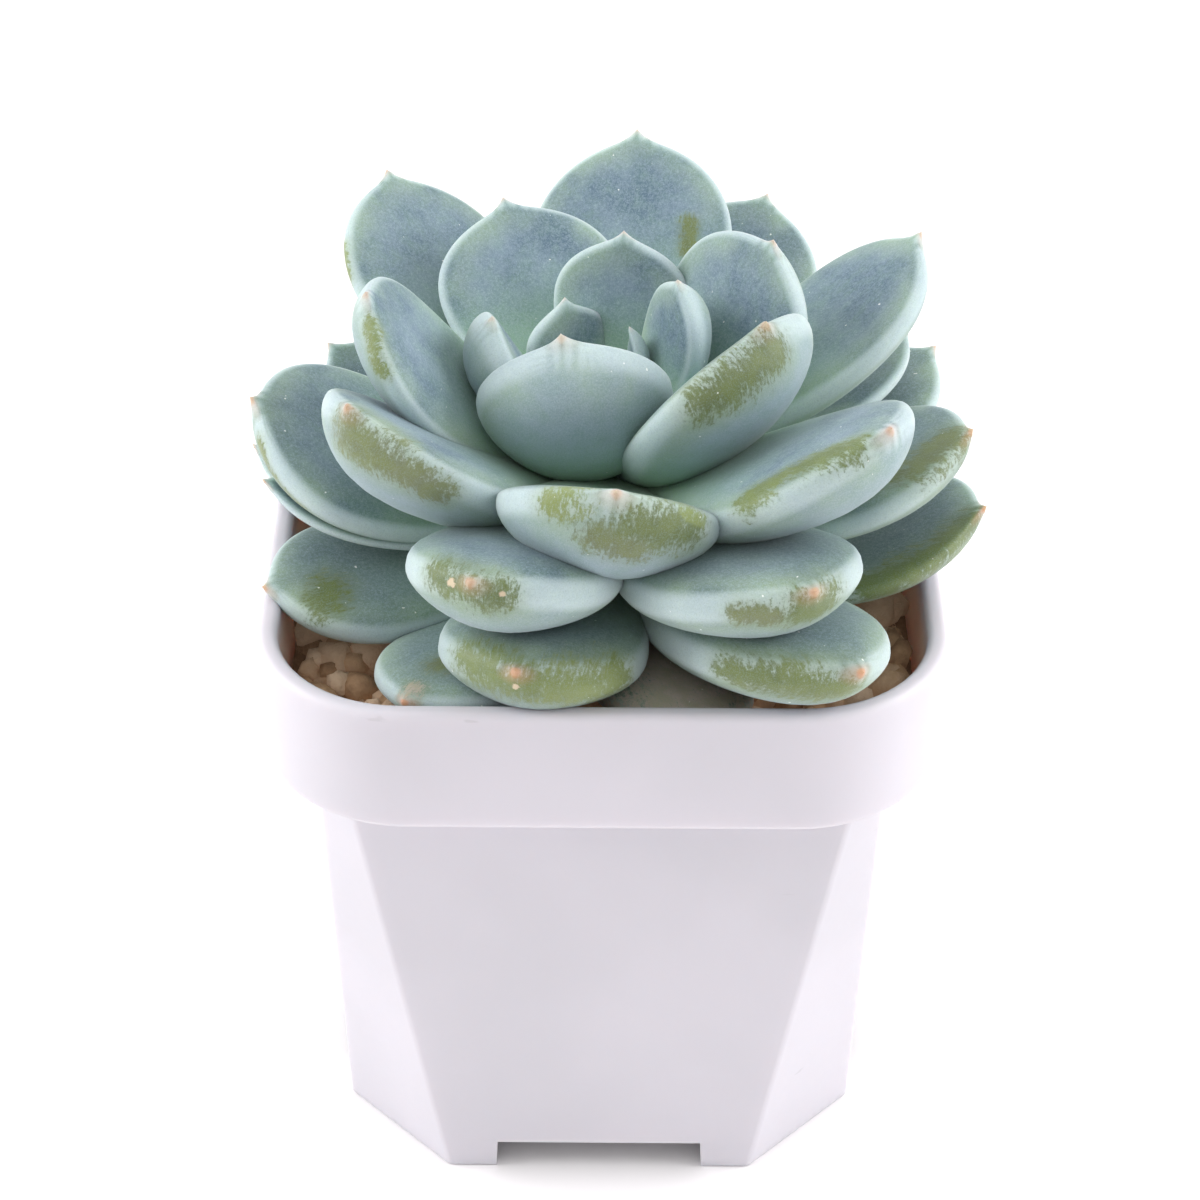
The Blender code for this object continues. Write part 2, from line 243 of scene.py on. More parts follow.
def cut_square(half, cut, rounding, height):
    """Rings of a square with cut corners, one ring for each entry of the four lists.

    A ring is eight straight sides, the four upright ones at half from the middle and the four across
    the corners. Where two sides meet, an arc of radius rounding touches both: its centre is rounding
    inside each side's line. The four sides also have points at both ends of the gap between two feet.
    """
    columns = (np.asarray(value, float)[:, None] for value in (half, cut, rounding, height))
    half, cut, rounding, height = columns
    across = (2 * half - cut) / math.sqrt(2)
    eighth = math.pi / 4
    parts = []
    for side in range(8):
        turn = side * eighth
        here, there = (half, across) if side % 2 == 0 else (across, half)
        along = (there - rounding - (here - rounding) * math.cos(eighth)) / math.sin(eighth)
        if side % 2 == 0:
            gap = FOOT_GAP_HALF + np.array([-0.1, 0.1]) * MM
            flat = np.concatenate([-0.93 * along, *([[-x]] * np.ones_like(along) for x in gap[::-1]),
                                   *([[x]] * np.ones_like(along) for x in gap), 0.93 * along], axis=1)
            parts.append((half * math.cos(turn) - flat * math.sin(turn),
                          half * math.sin(turn) + flat * math.cos(turn)))
        angle = turn + np.linspace(0, eighth, 9)[None]
        parts.append(((here - rounding) * math.cos(turn) - along * math.sin(turn) + rounding * np.cos(angle),
                      (here - rounding) * math.sin(turn) + along * math.cos(turn) + rounding * np.sin(angle)))
    x = np.concatenate([part[0] for part in parts], axis=1)
    y = np.concatenate([part[1] for part in parts], axis=1)
    return np.stack([x, y, height * np.ones_like(x)], axis=-1)


def ring_skin(name, rings, finish, marks=None):
    """A closed skin over a grid of rings.

    Point (i, j) of the grid is the j-th point round the i-th ring. Columns join round, and each end is
    closed with a fan to the middle of its ring. marks are named values for each point of the grid.
    """
    rows, columns = rings.shape[:2]
    count = rows * columns
    points = np.concatenate([rings.reshape(-1, 3), rings[:1].mean(axis=1), rings[-1:].mean(axis=1)])
    row, column = np.mgrid[0:rows - 1, 0:columns]
    following = (column + 1) % columns
    quads = np.stack([row * columns + column, row * columns + following,
                      (row + 1) * columns + following, (row + 1) * columns + column], axis=-1).reshape(-1, 4)
    around = np.arange(columns)
    onward = (around + 1) % columns
    first_cap = np.stack([np.full(columns, count), onward, around], axis=-1)
    last = count - columns
    last_cap = np.stack([np.full(columns, count + 1), last + around, last + onward], axis=-1)
    mesh = bpy.data.meshes.new(name)
    mesh.from_pydata(points.tolist(), [], quads.tolist() + first_cap.tolist() + last_cap.tolist())
    mesh.shade_smooth()
    for mark, values in (marks or {}).items():
        values = np.concatenate([values.reshape(-1, 3), values[:1].mean(axis=1), values[-1:].mean(axis=1)])
        layer = mesh.attributes.new(mark, "FLOAT_VECTOR", "POINT")
        layer.data.foreach_set("vector", values.astype(np.float32).ravel())
    mesh.materials.append(finish)
    made = bpy.data.objects.new(name, mesh)
    bpy.context.collection.objects.link(made)
    return made


def pot_plastic():
    """Milky white plastic: a slow change of tint, faint flow lines from the mould and a few scuffs, and a
    painted reflection of the warm grit on the inner wall over it.
    """
    finish, tree, shader = new_finish("pot_plastic", 0.42, Subsurface_Weight=0.6)
    shader.inputs["Subsurface Radius"].default_value = (1.0, 0.85, 0.8)
    shader.inputs["Subsurface Scale"].default_value = 3.0 * MM
    place = add(tree, "ShaderNodeTexCoord").outputs["Object"]
    slow = cloudy(tree, place, 35, 2)
    tint = blended(tree, rising(tree, slow, 0.35, 0.65), POT_WHITE, POT_MILKY)
    marks = rising(tree, cloudy(tree, stretched(tree, place, SCUFF_STRETCH), 95, 3, 0.6), 0.71, 0.75)
    tint = blended(tree, maths(tree, "MULTIPLY", marks, 0.5), tint, POT_SCUFF)
    height = add(tree, "ShaderNodeSeparateXYZ", {0: place}).outputs["Z"]
    facing = add(tree, "ShaderNodeVectorMath",
                 {0: add(tree, "ShaderNodeTexCoord").outputs["Normal"], 1: stretched(tree, place, (1, 1, 0))},
                 operation="DOT_PRODUCT").outputs["Value"]
    # painted reflection: the inner wall just over the grit is tinted warm, standing in for light bounced off
    # the clay
    inner = maths(tree, "MULTIPLY", rising(tree, facing, -5 * MM, -20 * MM),
                  rising(tree, height, POT_HEIGHT - 0.5 * MM, POT_HEIGHT - 5 * MM))
    inner = maths(tree, "MULTIPLY", inner, rising(tree, height, BODY_TOP, BODY_TOP + 1 * MM))
    tint = blended(tree, maths(tree, "MULTIPLY", inner, 0.75), tint, POT_CLAY_BOUNCE)
    tree.links.new(tint, shader.inputs["Base Color"])
    fine = cloudy(tree, place, 900, 3)
    tree.links.new(add(tree, "ShaderNodeMapRange", {0: fine, 3: 0.36, 4: 0.5}).outputs[0],
                   shader.inputs["Roughness"])
    roughen(tree, shader, cloudy(tree, place, 500, 3), 0.02 * MM)
    return finish


def pot_rows():
    """The pot's wall as one line from the middle of its underside over the rim to its inner floor.

    Each row is a height, and how far out the ring is: half, cut and rounding of cut_square.
    """
    rows = []

    def body(height, inset=0.0):
        share = height / BODY_TOP
        half = BODY_FOOT_HALF + (BODY_TOP_HALF - BODY_FOOT_HALF) * share - inset
        cut = CUT_FOOT + (CUT_TOP - CUT_FOOT) * share - (2 - math.sqrt(2)) * inset
        rows.append((half, cut, max(EDGE_ROUNDING - inset, 0.3 * MM), height))

    def collar(height, inset=0.0):
        draft = COLLAR_DRAFT * (POT_HEIGHT - height) / COLLAR_HEIGHT
        corner = COLLAR_CORNER - inset
        rows.append((RIM_HALF - draft - inset, corner * (1 - math.tan(math.pi / 8)), corner, height))

    for height in (FLOOR_BOTTOM, 3 * MM, 0.4 * MM):
        body(height, BODY_WALL)
    body(0.1 * MM, BODY_WALL - 0.15 * MM)
    body(0, BODY_WALL - 0.45 * MM)
    body(0, 0.45 * MM)
    body(0.1 * MM, 0.15 * MM)
    for height in (0.4 * MM, 1.5 * MM, FOOT_GAP_HEIGHT - 0.1 * MM, FOOT_GAP_HEIGHT + 0.1 * MM):
        body(height)
    for height in np.linspace(8 * MM, BODY_TOP, 9)[:-1]:
        body(height)
    body(BODY_TOP - 0.5 * MM)
    body(BODY_TOP - 0.15 * MM, -0.12 * MM)
    body(BODY_TOP, -0.5 * MM)
    for angle in np.linspace(0, math.pi / 2, 6):
        collar(BODY_TOP + RIM_ROUNDING * (1 - math.sin(angle)), RIM_ROUNDING * (1 - math.cos(angle)))
    rows[-6:] = rows[-6:][::-1]
    for height in np.linspace(BODY_TOP + 2 * MM, POT_HEIGHT - RIM_ROUNDING - 0.5 * MM, 5):
        collar(height)
    for angle in np.linspace(0, math.pi / 2, 6):
        collar(POT_HEIGHT - RIM_ROUNDING * (1 - math.sin(angle)), RIM_ROUNDING * (1 - math.cos(angle)))
    for angle in np.linspace(math.pi / 2, 0, 6):
        collar(POT_HEIGHT - RIM_ROUNDING * (1 - math.sin(angle)),
               COLLAR_WALL - RIM_ROUNDING * (1 - math.cos(angle)))
    ledge = BODY_TOP + LEDGE_THICKNESS
    collar(POT_HEIGHT - RIM_ROUNDING - 1 * MM, COLLAR_WALL)
    collar(ledge + 0.5 * MM, COLLAR_WALL)
    collar(ledge, COLLAR_WALL + 0.5 * MM)
    body(ledge, BODY_WALL - 0.4 * MM)
    body(ledge - 0.4 * MM, BODY_WALL)
    for height in np.linspace(ledge - 2 * MM, FLOOR_TOP + 1 * MM, 6):
        body(height, BODY_WALL)
    body(FLOOR_TOP + 0.3 * MM, BODY_WALL + 0.3 * MM)
    body(FLOOR_TOP, BODY_WALL + 1 * MM)
    return np.array(rows).T


def mould_pot():
    """The pot: the wall's rows as rings, the feet's gaps lifted out of its lower edge, the drains cut."""
    half, cut, rounding, height = pot_rows()
    rings = cut_square(half, cut, rounding, height)
    sideways = np.minimum(abs(rings[..., 0]), abs(rings[..., 1]))
    in_gap = sideways < FOOT_GAP_HALF
    rings[..., 2] = np.where(in_gap, np.maximum(rings[..., 2], FOOT_GAP_HEIGHT), rings[..., 2])
    pot = ring_skin("pot_shell", rings, pot_plastic())
    turns = np.linspace(0, math.tau, 32, endpoint=False)
    for number, (radius, x, y) in enumerate(DRAINS):
        heights = np.array([FLOOR_BOTTOM - 2 * MM, FLOOR_TOP + 2 * MM])[:, None]
        ring = np.stack([x + radius * np.cos(turns) + 0 * heights, y + radius * np.sin(turns) + 0 * heights,
                         heights + 0 * turns], axis=-1)
        drill = ring_skin("drain_drill_%d" % number, ring, pot.data.materials[0])
        hole = pot.modifiers.new("drain", "BOOLEAN")
        hole.operation = "DIFFERENCE"
        hole.object = drill
    shaped = bpy.data.meshes.new_from_object(pot.evaluated_get(bpy.context.evaluated_depsgraph_get()))
    pot.modifiers.clear()
    pot.data = shaped
    for item in [item for item in bpy.data.objects if item.name.startswith("drain_drill")]:
        bpy.data.objects.remove(item)
    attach(pot, "root")
    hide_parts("pot")


mould_pot()

# --- Soil ----------------------------------------------------------------------------------------
# Fired clay grit, mostly 2 to 5 mm, poured loose over a bed of finer grit to a little under the rim.
# The bed is one closed body, tinted dark as painted shade for the gaps between crumbs; the crumbs on it are
# joined in one piece, each with its own tint.

SOIL_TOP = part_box("soil")[1][2]
SOIL_GAP = 0.3 * MM                 # between the bed and the pot
GRIT_SEED = 11
GRIT_SIZE = (1.15 * MM, 2.3 * MM)    # half of a crumb's width, smallest and largest
GRIT_SPACING = 2.9 * MM
CLAY_PAINTED_GLOW = 0.045                    # painted light: the grit glows a little, to lighten it where the leaves and the collar shade it
CLAY_DARK = (0.24, 0.13, 0.075, 1)
CLAY_MIDDLE = (0.58, 0.37, 0.22, 1)
CLAY_PALE = (0.80, 0.60, 0.43, 1)


def clay():
    """Fired clay: tan to brown from crumb to crumb, mottled, dull and pitted, with a faint painted glow in
    its own colour that lightens the grit where it lies in shade.
    """
    finish, tree, shader = new_finish("clay_grit", 0.95, Specular_IOR_Level=0.2, Emission_Strength=CLAY_PAINTED_GLOW)
    place = add(tree, "ShaderNodeTexCoord").outputs["Object"]
    tone = add(tree, "ShaderNodeAttribute", attribute_name="tone").outputs["Vector"]
    tone = add(tree, "ShaderNodeSeparateXYZ", {0: tone}).outputs["X"]
    mottled = maths(tree, "ADD", tone, maths(tree, "MULTIPLY", cloudy(tree, place, 700, 4, 0.6), 0.5))
    dark = blended(tree, rising(tree, mottled, 0.15, 0.65), CLAY_DARK, CLAY_MIDDLE)
    colour = blended(tree, rising(tree, mottled, 0.6, 1.35), dark, CLAY_PALE)
    tree.links.new(colour, shader.inputs["Base Color"])
    # the painted glow takes the clay's own colour
    tree.links.new(colour, shader.inputs["Emission Color"])
    tree.links.new(rising(tree, mottled, -1.0, 0.3), shader.inputs["Roughness"])
    roughen(tree, shader, cloudy(tree, place, 1500, 4, 0.65), 0.25 * MM)
    return finish


def crumb():
    """One crumb's points and faces: a cube with each side in 2 by 2, blown halfway to a ball."""
    steps = np.array([-1.0, 0.0, 1.0])
    flat = np.stack(np.meshgrid(steps, steps, indexing="ij"), axis=-1).reshape(-1, 2)
    sides = []
    for axis in range(3):
        for way in (-1.0, 1.0):
            side = np.insert(flat, axis, way, axis=1)
            sides.append(side)
    points, index = np.unique(np.concatenate(sides), axis=0, return_inverse=True)
    index = index.reshape(6, 3, 3)
    quads = np.stack([index[:, :-1, :-1], index[:, 1:, :-1], index[:, 1:, 1:], index[:, :-1, 1:]], axis=-1)
    quads = quads.reshape(-1, 4)
    middle = points[quads].mean(axis=1)
    edge_a = points[quads[:, 1]] - points[quads[:, 0]]
    edge_b = points[quads[:, 2]] - points[quads[:, 1]]
    inward = np.einsum("ij,ij->i", np.cross(edge_a, edge_b), middle) < 0
    quads[inward] = quads[inward][:, ::-1]
    ball = points / np.linalg.norm(points, axis=1, keepdims=True)
    return 0.375 * points + 0.6 * ball, quads


def crumb_places(rng):
    """Where crumbs lie: a square grid shaken by a third of its step, inside the collar's round corners."""
    reach = RIM_HALF - COLLAR_WALL - GRIT_SIZE[1] - 0.3 * MM
    steps = np.arange(-reach, reach + GRIT_SPACING, GRIT_SPACING)
    x, y = (value.ravel() for value in np.meshgrid(steps, steps))
    shake = rng.uniform(-GRIT_SPACING / 3, GRIT_SPACING / 3, (2, x.size))
    x, y = np.clip(x + shake[0], -reach, reach), np.clip(y + shake[1], -reach, reach)
    corner = COLLAR_CORNER - COLLAR_WALL - GRIT_SIZE[1]
    beyond = np.hypot(np.maximum(abs(x) - (reach - corner), 0), np.maximum(abs(y) - (reach - corner), 0))
    inside = beyond <= corner
    return x[inside], y[inside]


def pour_soil():
    """The bed under the crumbs, dark as painted shade for the gaps between them, then two layers of crumbs.
    """
    rng = np.random.default_rng(GRIT_SEED)
    finish = clay()
    bed_top = SOIL_TOP - 2.2 * MM
    rows = []
    inset = BODY_WALL + SOIL_GAP
    for height in (FLOOR_TOP + SOIL_GAP, BODY_TOP + LEDGE_THICKNESS):
        share = height / BODY_TOP
        rows.append((BODY_FOOT_HALF + (BODY_TOP_HALF - BODY_FOOT_HALF) * share - inset,
                     CUT_FOOT + (CUT_TOP - CUT_FOOT) * share - (2 - math.sqrt(2)) * inset, 0.5 * MM, height))
    for height in (BODY_TOP + LEDGE_THICKNESS + SOIL_GAP, bed_top):
        corner = COLLAR_CORNER - COLLAR_WALL - SOIL_GAP
        rows.append((RIM_HALF - COLLAR_DRAFT - COLLAR_WALL - SOIL_GAP, corner * (1 - math.tan(math.pi / 8)),
                     corner, height))
    rings = cut_square(*np.array(rows).T)
    # the bed's low tone gives the darkest clay: painted shade in the gaps between the crumbs
    tone = np.zeros_like(rings) + 0.05
    bed = ring_skin("soil_bed", rings, finish, {"tone": tone})

    unit, quads = crumb()
    layers = []
    for lift, drop_out in ((-1.5 * MM, 0.0), (0.0, 0.25)):
        x, y = crumb_places(rng)
        kept = rng.random(x.size) >= drop_out
        x, y = x[kept], y[kept]
        z = SOIL_TOP - 0.9 * MM + lift + rng.uniform(-0.6, 0.6, x.size) * MM
        layers.append(np.stack([x, y, z], axis=-1))
    places = np.concatenate(layers)
    count = len(places)
    turn = rng.normal(size=(count, 4))
    turn /= np.linalg.norm(turn, axis=1, keepdims=True)
    w, i, j, k = turn.T
    spin = np.stack([
        np.stack([1 - 2 * (j * j + k * k), 2 * (i * j - k * w), 2 * (i * k + j * w)], axis=-1),
        np.stack([2 * (i * j + k * w), 1 - 2 * (i * i + k * k), 2 * (j * k - i * w)], axis=-1),
        np.stack([2 * (i * k - j * w), 2 * (j * k + i * w), 1 - 2 * (i * i + j * j)], axis=-1)], axis=1)
    stretch = rng.uniform(0.72, 1.15, (count, 1, 3)) * rng.uniform(*GRIT_SIZE, (count, 1, 1))
    lumpy = 1 + rng.uniform(-0.23, 0.23, (count, len(unit), 1))
    points = np.einsum("nij,nkj->nki", spin, unit[None] * stretch * lumpy) + places[:, None]
    faces = quads[None] + (np.arange(count) * len(unit))[:, None, None]
    mesh = bpy.data.meshes.new("soil_crumbs")
    mesh.from_pydata(points.reshape(-1, 3).tolist(), [], faces.reshape(-1, 4).tolist())
    mesh.shade_smooth()
    layer = mesh.attributes.new("tone", "FLOAT_VECTOR", "POINT")
    tones = np.zeros((count, len(unit), 3))
    tones[..., 0] = rng.uniform(0.1, 0.95, (count, 1))
    layer.data.foreach_set("vector", tones.astype(np.float32).ravel())
    mesh.materials.append(finish)
    crumbs = bpy.data.objects.new("soil_crumbs", mesh)
    bpy.context.collection.objects.link(crumbs)
    for piece in (bed, crumbs):
        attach(piece, "root")
        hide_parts("soil")


pour_soil()

# --- Stem ----------------------------------------------------------------------------------------
# The short, half-woody stem that carries every leaf, its root end set in the grit. It is green-brown,
# with a scar ring under each leaf's seat, and only glimpsed between the leaves.

STEM_LOW, STEM_HIGH = (corner[2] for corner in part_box("stem"))
STEM_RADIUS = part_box("stem")[1][0]
STEM_SHOULDER = SOIL_TOP + 1.5 * MM
ROOT_TIP_RADIUS = 2.5 * MM
STEM_RING_STEP = 1.9 * MM
BARK_BROWN = (0.16, 0.12, 0.06, 1)
BARK_GREEN = (0.20, 0.27, 0.14, 1)


def grow_stem():
    """The stem: a radius that is straight to the shoulder, closes like an egg's end above it and tapers to
    the root below the soil, with a shallow wave for the scar rings."""
    below = np.array([0.0, 0.4, 0.8])
    above = np.sin(np.linspace(0, 0.5, 40) * math.pi)
    heights = np.concatenate([STEM_LOW + below * (SOIL_TOP - STEM_LOW),
                              STEM_SHOULDER + above * (STEM_HIGH - STEM_SHOULDER)])
    over = np.clip((heights - STEM_SHOULDER) / (STEM_HIGH - STEM_SHOULDER), 0, 1)
    under = np.clip((SOIL_TOP - heights) / (SOIL_TOP - STEM_LOW), 0, 1)
    radius = STEM_RADIUS * np.sqrt(np.clip(1 - over ** 2, 0.0004, 1))
    radius = radius + (ROOT_TIP_RADIUS - STEM_RADIUS) * under
    radius = radius * (0.97 + 0.03 * np.sin(heights / STEM_RING_STEP * math.tau))
    turn = np.linspace(0, math.tau, 40, endpoint=False)[None]
    rings = np.stack([radius[:, None] * np.cos(turn), radius[:, None] * np.sin(turn),
                      heights[:, None] + 0 * turn], axis=-1)
    finish, tree, shader = new_finish("stem_bark", 0.8)
    place = add(tree, "ShaderNodeTexCoord").outputs["Object"]
    bark = blended(tree, cloudy(tree, place, 600, 4), BARK_BROWN, BARK_GREEN)
    tree.links.new(bark, shader.inputs["Base Color"])
    roughen(tree, shader, cloudy(tree, place, 1200, 4), 0.3 * MM)
    stem = ring_skin("stem_bark", rings, finish)
    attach(stem, "root")
    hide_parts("stem")


grow_stem()

# --- Leaves --------------------------------------------------------------------------------------
# Forty thick leaves set close round the stem, each seated on it by a narrow foot. A leaf is green and
# waxy; the wax is a blue-white bloom that wears off where leaves or fingers have rubbed it.

TOP_LEAF_SEAT = 86.1 * MM
LEAF_STEP = 0.48 * MM
LEAF_SEAT = 0.55 * MM
LEAF_BEND = 20
LEAF_FOOT_SHARE = 0.27
LEAF_WIDEST = 0.66
LEAF_FOOT_THICKNESS = 0.40
LEAF_THICKEST = 0.60
LEAF_KEEL = 0.35
LEAF_CROWN = 0.2
LEAF_EDGE_DROP = 0.16
LEAF_CUP = 0.04
LEAF_MARK_STEP = 70.0               # millimetres from one leaf's place in the bloom's pattern to the next's
TIP_LENGTH = 1.6 * MM
TIP_REACH = 1.1 * MM
TIP_RISE = 20

STREAK_STRETCH = (0.55, 2.6, 0.8)   # the fine scratches in a worn patch run along the leaf
LEAF_DEEP = (0.08, 0.14, 0.20, 1)
LEAF_PALE = (0.27, 0.355, 0.39, 1)
LEAF_MILKY = (0.36, 0.46, 0.54, 1)
LEAF_GREEN = (0.19, 0.31, 0.25, 1)
# the green of a leaf's foot, made lighter than the skin is as painted fill light for the crevices at the
# heart
LEAF_FOOT_GREEN_AND_FILL = (0.40, 0.64, 0.40, 1)
LEAF_YELLOW = (0.33, 0.44, 0.25, 1)
# pale colour for a painted highlight along each leaf's rim, and for the bloom's powder specks
LEAF_EDGE_SHEEN_AND_POWDER = (0.60, 0.70, 0.73, 1)
LEAF_AGED = (0.15, 0.215, 0.175, 1)
WORN_YELLOW = (0.22, 0.265, 0.065, 1)
WORN_GREEN = (0.07, 0.10, 0.028, 1)
WORN_BROWN = (0.15, 0.155, 0.095, 1)
WORN_PINK = (0.66, 0.50, 0.50, 1)
TIP_ORANGE = (0.58, 0.27, 0.15, 1)
SCAR_BEIGE = (0.60, 0.50, 0.36, 1)
SPECK_WHITE = (0.85, 0.87, 0.85, 1)

# One row for each leaf, from the heart outwards: its turn from the front towards the right, its lean up
# from level and its roll in degrees, then its length, width and thickness in millimetres
LEAVES = [
    # the heart: leaves still closed over the growing point
    (320, 72.5, 0, 10, 5, 2.5),
    (99.5, 81.5, 0, 10.2, 5.8, 1.9),
    (213, 60, 6, 12, 11.4, 3.6),
    (296, 56, -10, 19.4, 15.4, 5.2, {"bend": 28}),
    (170, 61, -4, 19.6, 15.6, 4.8, {"bend": 30}),
    (90, 74.5, 22, 19, 12, 4.4),
    # the inner rounds, standing up
    (341, 62, 19, 22, 21, 7.2, {"bend": 31}),
    (206, 36, -2, 27.8, 22, 5.6, {"bend": 12}),
    (104, 56, 24, 27, 20.6, 5.6, {"bend": 28}),
    (48, 52.5, 2, 30, 24.4, 7.2, {"bend": 12}),
    (293, 47.5, -22, 34.2, 19.2, 5.2, {"bend": 26}),
    (2, 29.5, -8, 35.6, 23.5, 7.4, {"bend": 29}),
    (174.5, 29.5, -7, 40, 24, 5.2),
    (114, 30, -12, 39.2, 23.4, 5.6),
    # the middle rounds, opening out
    (311, 35, -1, 36.5, 22.8, 7.4, {"bend": 15}),
    (43, 33, 8, 44, 22.8, 6.4, {"bend": 15, "crown": 0.35}),
    (218.5, 29, 13, 41, 25, 5.8),
    (154, 19.5, 6, 41, 22.8, 5),
    (341, 19, 2, 37.6, 22, 6.2, {"bend": 20, "crown": 0.55}),
    (277, 21.5, -10, 35.8, 24.6, 6.6, {"bend": 28}),
    # the outer rounds, lying down over the rim
    (122, 11.5, -12, 36.8, 16.2, 3.4),
    (73, 23, 6, 38.6, 20.2, 5, {"bend": 25, "crown": 0.4}),
    (237, 11, -7, 33, 17.4, 3.8),
    (28.5, 20, -2, 41, 23.6, 6, {"bend": 8, "crown": 0.55}),
    (188.5, 21.5, 3, 34, 19.4, 4.4),
    (282, 13, 0, 32.8, 16.4, 2.4),
    (122.5, 8.5, -3, 40.6, 20.2, 5.4),
    (237, 5.5, 3, 34.6, 18.8, 3),
    (173.5, 8.5, -4, 31.6, 19, 3),
    (347, 10.5, 0, 34.6, 22, 5.4, {"bend": 36, "crown": 0.75}),
    (294, 3, -8, 34, 19.4, 5, {"bend": 16, "crown": 0.45}),
    (75, 14.5, 0, 38.1, 24.6, 4.8, {"bend": 26}),
    # the lowest leaves at the back
    (208, 3, -1, 32, 20, 3),
    (145, 4.5, 7, 34.8, 18.2, 5.1),
    (34, 13, -10, 41.8, 22, 5.8, {"bend": 6, "crown": 0.65}),
    (259, 11, 5, 35, 15.6, 1.8),
    (218.5, -3, 3, 25.8, 16.2, 2.1),
    (102.5, 2.5, 0, 28.8, 17.2, 2.9),
    (329, 6, 4, 34, 19, 3.6, {"crown": 0.8}),
    (16, 4.5, -8, 31.6, 18, 2.4, {"crown": 1.0}),
]


def leaf_half_width(share):
    """Half of a leaf's width as a share of its widest, at a share of its length: it swells like a sine to
    the widest place and closes round the end."""
    opening = np.sin(np.clip(share / LEAF_WIDEST, 0, 1) * math.pi / 2) ** 1.2
    swell = LEAF_FOOT_SHARE + (1 - LEAF_FOOT_SHARE) * opening
    closing = np.clip((share - LEAF_WIDEST) / (1 - LEAF_WIDEST), 0, 1)
    return np.maximum(swell * (1 - closing ** 2.2) ** 0.55, 0.06)


def leaf_depth(share):
    """A leaf's thickness under its edges as a share of its thickest, at a share of its length."""
    filling = np.sin(np.clip(share / LEAF_THICKEST, 0, 1) * math.pi / 2)
    full = LEAF_FOOT_THICKNESS + (1 - LEAF_FOOT_THICKNESS) * filling
    thinning = np.clip((share - LEAF_THICKEST) / (1 - LEAF_THICKEST), 0, 1)
    return np.maximum(full * np.sqrt(1 - thinning ** 3), 0.13)


def leaf_grid(length, width, thickness, bend=LEAF_BEND, skew=0.0, crown=LEAF_CROWN, tip_rise=TIP_RISE):
    """One leaf along +X with its upper face up, as rings, and where each point is on the leaf.

    The middle line is an arc of a circle. Across it, a ring's upper half is a shallow swell and its lower
    half a deep one that comes to a soft keel towards the end; the widest line lies a little under the
    upper face. The last rings shrink to the end's middle, and the small point is the skin there pulled
    out along a line that turns up by tip_rise, by a pull that fades with distance like exp(-r / reach).
    """
    sides = 44
    share = 1 - (1 - np.linspace(0, 1, 46)) ** 1.7
    bend = math.radians(bend)
    slope = bend * (share - 0.5)
    radius = length / bend
    middle = np.stack([radius * (np.sin(slope) + math.sin(bend / 2)), skew * share ** 2,
                       radius * (math.cos(bend / 2) - np.cos(slope))], axis=-1)
    upward = np.stack([-np.sin(slope), 0 * slope, np.cos(slope)], axis=-1)
    half = (width / 2 * leaf_half_width(share))[:, None]
    depth = (thickness * leaf_depth(share))[:, None]
    keel = LEAF_KEEL * np.clip((share - 0.25) / 0.5, 0, 1)[:, None]
    angle = (np.arange(sides) * math.tau / sides)[None]
    across, rise = np.cos(angle), np.sin(angle)
    soft = np.sqrt(across ** 2 + 0.03) - math.sqrt(0.03)
    soft = soft / soft.max()
    above = (crown + LEAF_EDGE_DROP) * depth * abs(rise) ** 0.75
    below = -(1 - LEAF_EDGE_DROP) * depth * ((1 - keel) * abs(rise) ** 0.95 + keel * (1 - soft))
    lift = np.where(rise > 0, above, below) - LEAF_EDGE_DROP * depth + LEAF_CUP * half * across ** 2
    wide = np.sign(across) * abs(across) ** 0.85
    sideways = (half * wide)[..., None] * np.array([0, 1, 0])
    rings = middle[:, None] + sideways + lift[..., None] * upward[:, None]
    end = rings[-1].mean(axis=0)
    out = np.linspace(0, 1, 9)[1:]
    rings = np.concatenate([rings, end + (rings[-1] - end)[None] * (1 - 0.97 * out)[:, None, None]])
    rise_angle = bend / 2 + math.radians(tip_rise)
    way = np.array([math.cos(rise_angle), 0, math.sin(rise_angle)])
    near_end = np.concatenate([np.clip((share - 0.85) / 0.12, 0, 1), np.ones(len(out))])[:, None]
    pull = TIP_LENGTH * near_end * np.exp(-np.linalg.norm(rings - end, axis=-1) / TIP_REACH)
    rings = rings + pull[..., None] * way
    along = np.concatenate([share, 1 + 0.02 * out])[:, None] + 0 * across
    side = np.concatenate([0 * share[:, None] + wide, 0 * out[:, None] + wide])
    face = np.concatenate([0 * share[:, None] + rise, 0 * out[:, None] + rise])
    flat_half = np.concatenate([half, half[-1:] * (1 - 0.97 * out)[:, None]])
    return rings, along, side, face, flat_half


